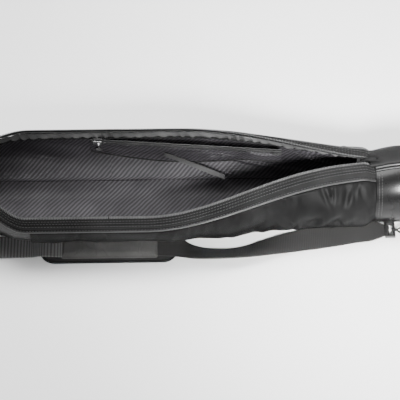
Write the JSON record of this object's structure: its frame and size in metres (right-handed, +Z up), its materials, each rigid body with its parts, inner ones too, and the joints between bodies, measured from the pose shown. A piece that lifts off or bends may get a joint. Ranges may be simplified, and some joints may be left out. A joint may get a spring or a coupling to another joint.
{
  "type": "padded tripod carry bag",
  "caption": "Long padded carry bag lying open, with a full-length zipped mouth, coated end sections, an inner zipped pocket and a shoulder strap with pad and snap hooks.",
  "frame": {"origin": "middle of the bag's length on the flat underside of its base", "axes": "+X along the bag towards its round waisted end, -Y the side with the shoulder strap, +Z up"},
  "size_m": [0.706, 0.1745, 0.1143],
  "materials": {
    "nylon": "woven nylon",
    "canvas": "coarse woven canvas",
    "lining": "satin lining with woven diagonal stripes",
    "padding": "closed foam sheet",
    "coated": "smooth coated leathercloth",
    "smooth_cloth": "smooth dense cloth",
    "webbing": "polyester webbing",
    "piping": "glossy corded edge",
    "zipper": "nylon coil on woven tape",
    "metal": "dark nickel plate",
    "moulded": "moulded, fine matt"
  },
  "bodies": {
    "body": {"base_foam": "padding", "base_lining": "lining", "base_panel": "nylon", "end_piping": "piping", "end_top_panel": "smooth_cloth", "end_top_piping": "piping", "hook_eye_left": "metal", "hook_eye_right": "metal", "left_end_panel": "coated", "left_end_section": "coated", "left_lower_section": "coated", "pad_sleeve": "webbing", "right_end_panel": "coated", "right_end_section": "coated", "right_gusset": "nylon", "ring_tabs": "webbing", "shoulder_pad": "webbing", "strap_left": "webbing", "strap_right": "webbing", "zipper_end_stops": "webbing"},
    "front_side": {"front_panel": "nylon", "front_foam": "padding", "front_lining": "lining", "front_zipper_band": "canvas", "front_piping": "piping", "front_zipper_tape": "zipper"},
    "rear_side": {"rear_panel": "nylon", "rear_foam": "padding", "rear_lining": "lining", "rear_zipper_band": "canvas", "rear_piping": "piping", "rear_zipper_tape": "zipper", "pocket_panel": "lining", "pocket_zipper_tapes": "zipper", "pocket_end_tab": "webbing", "inner_tape": "webbing"},
    "main_slider": {"main_zip_slider": "metal"},
    "main_pull": {"main_zip_pull": "metal"},
    "pocket_slider_body": {"pocket_slider": "metal"},
    "pocket_pull_body": {"pocket_pull": "metal"},
    "strap_buckle_body": {"strap_buckle": "moulded"},
    "front_fold_1_body": {"front_fold_1": "nylon"},
    "front_fold_2_body": {"front_fold_2": "nylon"},
    "front_fold_3_body": {"front_fold_3": "nylon"},
    "front_fold_4_body": {"front_fold_4": "nylon"},
    "front_fold_5_body": {"front_fold_5": "nylon"},
    "rear_fold_1_body": {"rear_fold_1": "nylon"},
    "rear_fold_2_body": {"rear_fold_2": "nylon"},
    "rear_fold_3_body": {"rear_fold_3": "nylon"},
    "rear_fold_4_body": {"rear_fold_4": "nylon"},
    "rear_fold_5_body": {"rear_fold_5": "nylon"},
    "ring_right": {"strap_ring_right": "metal"},
    "hook_right": {"snap_hook_right": "metal"},
    "gate_right": {"hook_gate_right": "metal"},
    "ring_left": {"strap_ring_left": "metal"},
    "hook_left": {"snap_hook_left": "metal"},
    "gate_left": {"hook_gate_left": "metal"}
  },
  "joints": [
    {"name": "rear_side_fold", "type": "hinge", "parent": "body", "child": "rear_side", "pos_m": [0, 0.048, 0.022], "axis": [1, 0, 0], "range_deg": [0, 34]},
    {"name": "front_side_fold", "type": "hinge", "parent": "body", "child": "front_side", "pos_m": [0, -0.048, 0.022], "axis": [-1, 0, 0], "range_deg": [0, 62.02]},
    {"name": "front_fold_1_hinge", "type": "hinge", "parent": "body", "child": "front_fold_1_body", "pos_m": [0, -0.048, 0.022], "axis": [-1, 0, 0], "range_deg": [0, 52.34]},
    {"name": "front_fold_2_hinge", "type": "hinge", "parent": "body", "child": "front_fold_2_body", "pos_m": [0, -0.048, 0.022], "axis": [-1, 0, 0], "range_deg": [0, 35.11]},
    {"name": "front_fold_3_hinge", "type": "hinge", "parent": "body", "child": "front_fold_3_body", "pos_m": [0, -0.048, 0.022], "axis": [-1, 0, 0], "range_deg": [0, 17.11]},
    {"name": "front_fold_4_hinge", "type": "hinge", "parent": "body", "child": "front_fold_4_body", "pos_m": [0, -0.048, 0.022], "axis": [-1, 0, 0], "range_deg": [0, 57]},
    {"name": "front_fold_5_hinge", "type": "hinge", "parent": "body", "child": "front_fold_5_body", "pos_m": [0, -0.048, 0.022], "axis": [-1, 0, 0], "range_deg": [0, 28.75]},
    {"name": "rear_fold_1_hinge", "type": "hinge", "parent": "body", "child": "rear_fold_1_body", "pos_m": [0, 0.048, 0.022], "axis": [1, 0, 0], "range_deg": [0, 32.08]},
    {"name": "rear_fold_2_hinge", "type": "hinge", "parent": "body", "child": "rear_fold_2_body", "pos_m": [0, 0.048, 0.022], "axis": [1, 0, 0], "range_deg": [0, 23.46]},
    {"name": "rear_fold_3_hinge", "type": "hinge", "parent": "body", "child": "rear_fold_3_body", "pos_m": [0, 0.048, 0.022], "axis": [1, 0, 0], "range_deg": [0, 12.54]},
    {"name": "rear_fold_4_hinge", "type": "hinge", "parent": "body", "child": "rear_fold_4_body", "pos_m": [0, 0.048, 0.022], "axis": [1, 0, 0], "range_deg": [0, 31.27]},
    {"name": "rear_fold_5_hinge", "type": "hinge", "parent": "body", "child": "rear_fold_5_body", "pos_m": [0, 0.048, 0.022], "axis": [1, 0, 0], "range_deg": [0, 15.77]},
    {"name": "main_zip_slide", "type": "slide", "parent": "body", "child": "main_slider", "axis": [-1, 0, 0], "range_m": [0, 0.5374]},
    {"name": "main_pull_hinge", "type": "hinge", "parent": "main_slider", "child": "main_pull", "pos_m": [0.247, 0, 0.1044], "axis": [0, -1, 0], "range_deg": [0, 150]},
    {"name": "pocket_zip_slide", "type": "slide", "parent": "rear_side", "child": "pocket_slider_body", "axis": [0.9956, -0.0936, 0], "range_m": [0, 0.236]},
    {"name": "pocket_pull_hinge", "type": "hinge", "parent": "pocket_slider_body", "child": "pocket_pull_body", "pos_m": [-0.11646, 0.0497, 0.08845], "axis": [-0.0889, -0.9454, -0.3135], "range_deg": [-75, 75]},
    {"name": "buckle_slide", "type": "slide", "parent": "body", "child": "strap_buckle_body", "axis": [1, 0, 0], "range_m": [-0.003, 0.011]},
    {"name": "ring_right_hinge", "type": "hinge", "parent": "body", "child": "ring_right", "pos_m": [0.3275, -0.044, 0.0066], "axis": [0, 1, 0], "range_deg": [0, 2]},
    {"name": "hook_right_swivel", "type": "hinge", "parent": "body", "child": "hook_right", "pos_m": [0.293, -0.044, 0.0068], "axis": [1, 0, 0], "range_deg": [-8, 8]},
    {"name": "gate_right_hinge", "type": "hinge", "parent": "hook_right", "child": "gate_right", "pos_m": [0.29884, -0.044, 0.00835], "axis": [0, 1, 0], "range_deg": [0, 20], "stiffness_Nm_per_rad": 0.0002, "springref_deg": -11.46},
    {"name": "ring_left_hinge", "type": "hinge", "parent": "body", "child": "ring_left", "pos_m": [-0.3495, -0.048, 0.0066], "axis": [0, -1, 0], "range_deg": [0, 2]},
    {"name": "hook_left_swivel", "type": "hinge", "parent": "body", "child": "hook_left", "pos_m": [-0.315, -0.048, 0.0068], "axis": [1, 0, 0], "range_deg": [-8, 8]},
    {"name": "gate_left_hinge", "type": "hinge", "parent": "hook_left", "child": "gate_left", "pos_m": [-0.32084, -0.048, 0.00835], "axis": [0, -1, 0], "range_deg": [0, 20], "stiffness_Nm_per_rad": 0.0002, "springref_deg": -11.46}
  ],
  "couplings": [
    {"joint": "front_side_fold", "follows": "rear_side_fold", "ratio": 1.8235},
    {"joint": "front_fold_1_hinge", "follows": "rear_side_fold", "ratio": 1.5387},
    {"joint": "front_fold_2_hinge", "follows": "rear_side_fold", "ratio": 1.0321},
    {"joint": "front_fold_3_hinge", "follows": "rear_side_fold", "ratio": 0.50275},
    {"joint": "front_fold_4_hinge", "follows": "rear_side_fold", "ratio": 1.6758},
    {"joint": "front_fold_5_hinge", "follows": "rear_side_fold", "ratio": 0.84484},
    {"joint": "rear_fold_1_hinge", "follows": "rear_side_fold", "ratio": 0.9429},
    {"joint": "rear_fold_2_hinge", "follows": "rear_side_fold", "ratio": 0.6893},
    {"joint": "rear_fold_3_hinge", "follows": "rear_side_fold", "ratio": 0.3683},
    {"joint": "rear_fold_4_hinge", "follows": "rear_side_fold", "ratio": 0.919},
    {"joint": "rear_fold_5_hinge", "follows": "rear_side_fold", "ratio": 0.4633},
    {"joint": "main_zip_slide", "follows": "rear_side_fold", "m_per_rad": 0.90494}
  ]
}
